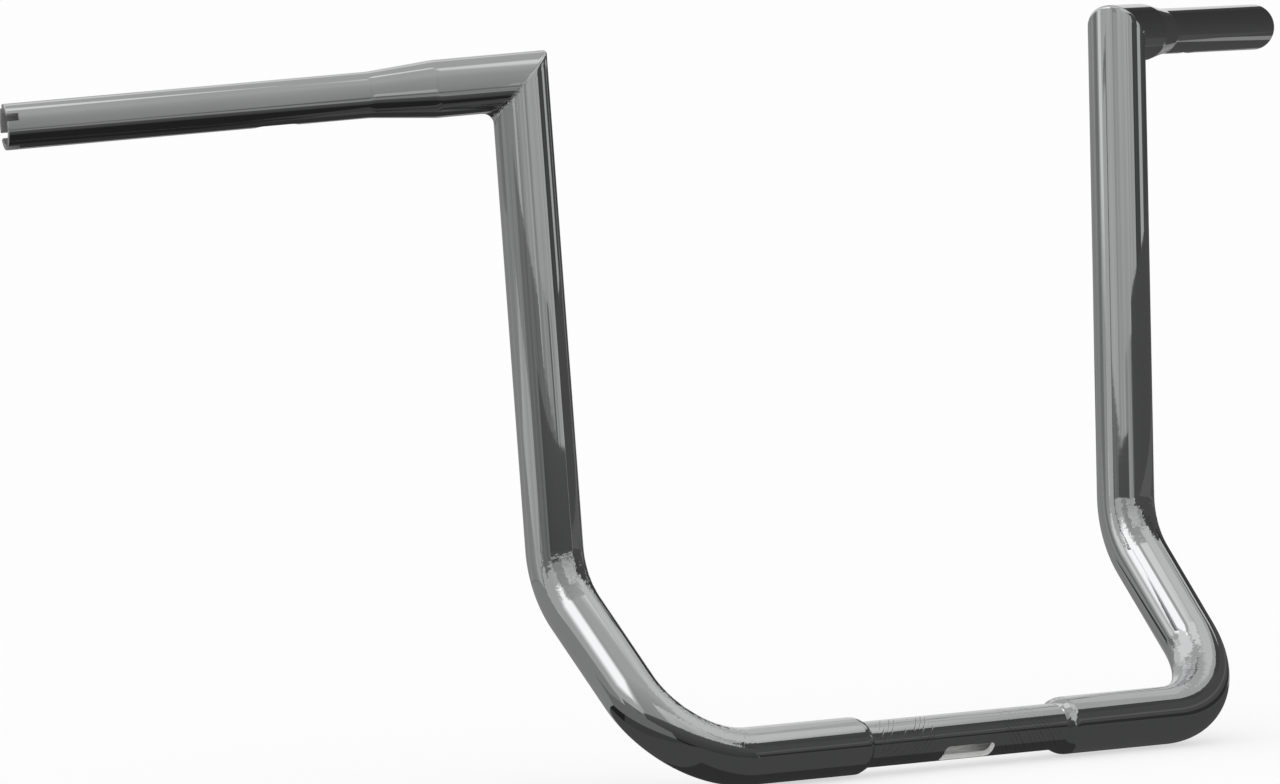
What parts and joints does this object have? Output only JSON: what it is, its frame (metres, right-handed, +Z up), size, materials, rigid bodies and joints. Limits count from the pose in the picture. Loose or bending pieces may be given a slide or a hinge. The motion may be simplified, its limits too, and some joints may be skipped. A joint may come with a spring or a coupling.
{
  "type": "motorcycle handlebar",
  "caption": "Tall chrome motorcycle handlebar: knurled clamp section, bent riser tubes, sharp mitred top corners and swaged grip ends swept back.",
  "frame": {"origin": "middle of the clamp axis, half way between the two shoulders", "axes": "+X along the clamp axis to the rider's right, +Y forwards, +Z up"},
  "size_m": [0.9512, 0.283, 0.3987],
  "materials": {
    "chrome_tube": "mirror-bright chrome plate on polished steel tube",
    "chrome_ground_weld": "mirror-bright chrome plate on a weld that is ground flush",
    "chrome_weld_bead": "bright chrome plate on a weld bead that is left rippled"
  },
  "bodies": {
    "root": {"clamp_tube": "chrome_tube", "right_riser_tube": "chrome_tube", "left_riser_tube": "chrome_tube", "right_shoulder_weld": "chrome_ground_weld", "left_shoulder_weld": "chrome_ground_weld", "right_grip_tube": "chrome_tube", "left_grip_tube": "chrome_tube", "right_mitre_weld": "chrome_ground_weld", "left_mitre_weld": "chrome_ground_weld", "right_corner_bead": "chrome_weld_bead", "left_corner_bead": "chrome_weld_bead"}
  },
  "joints": []
}
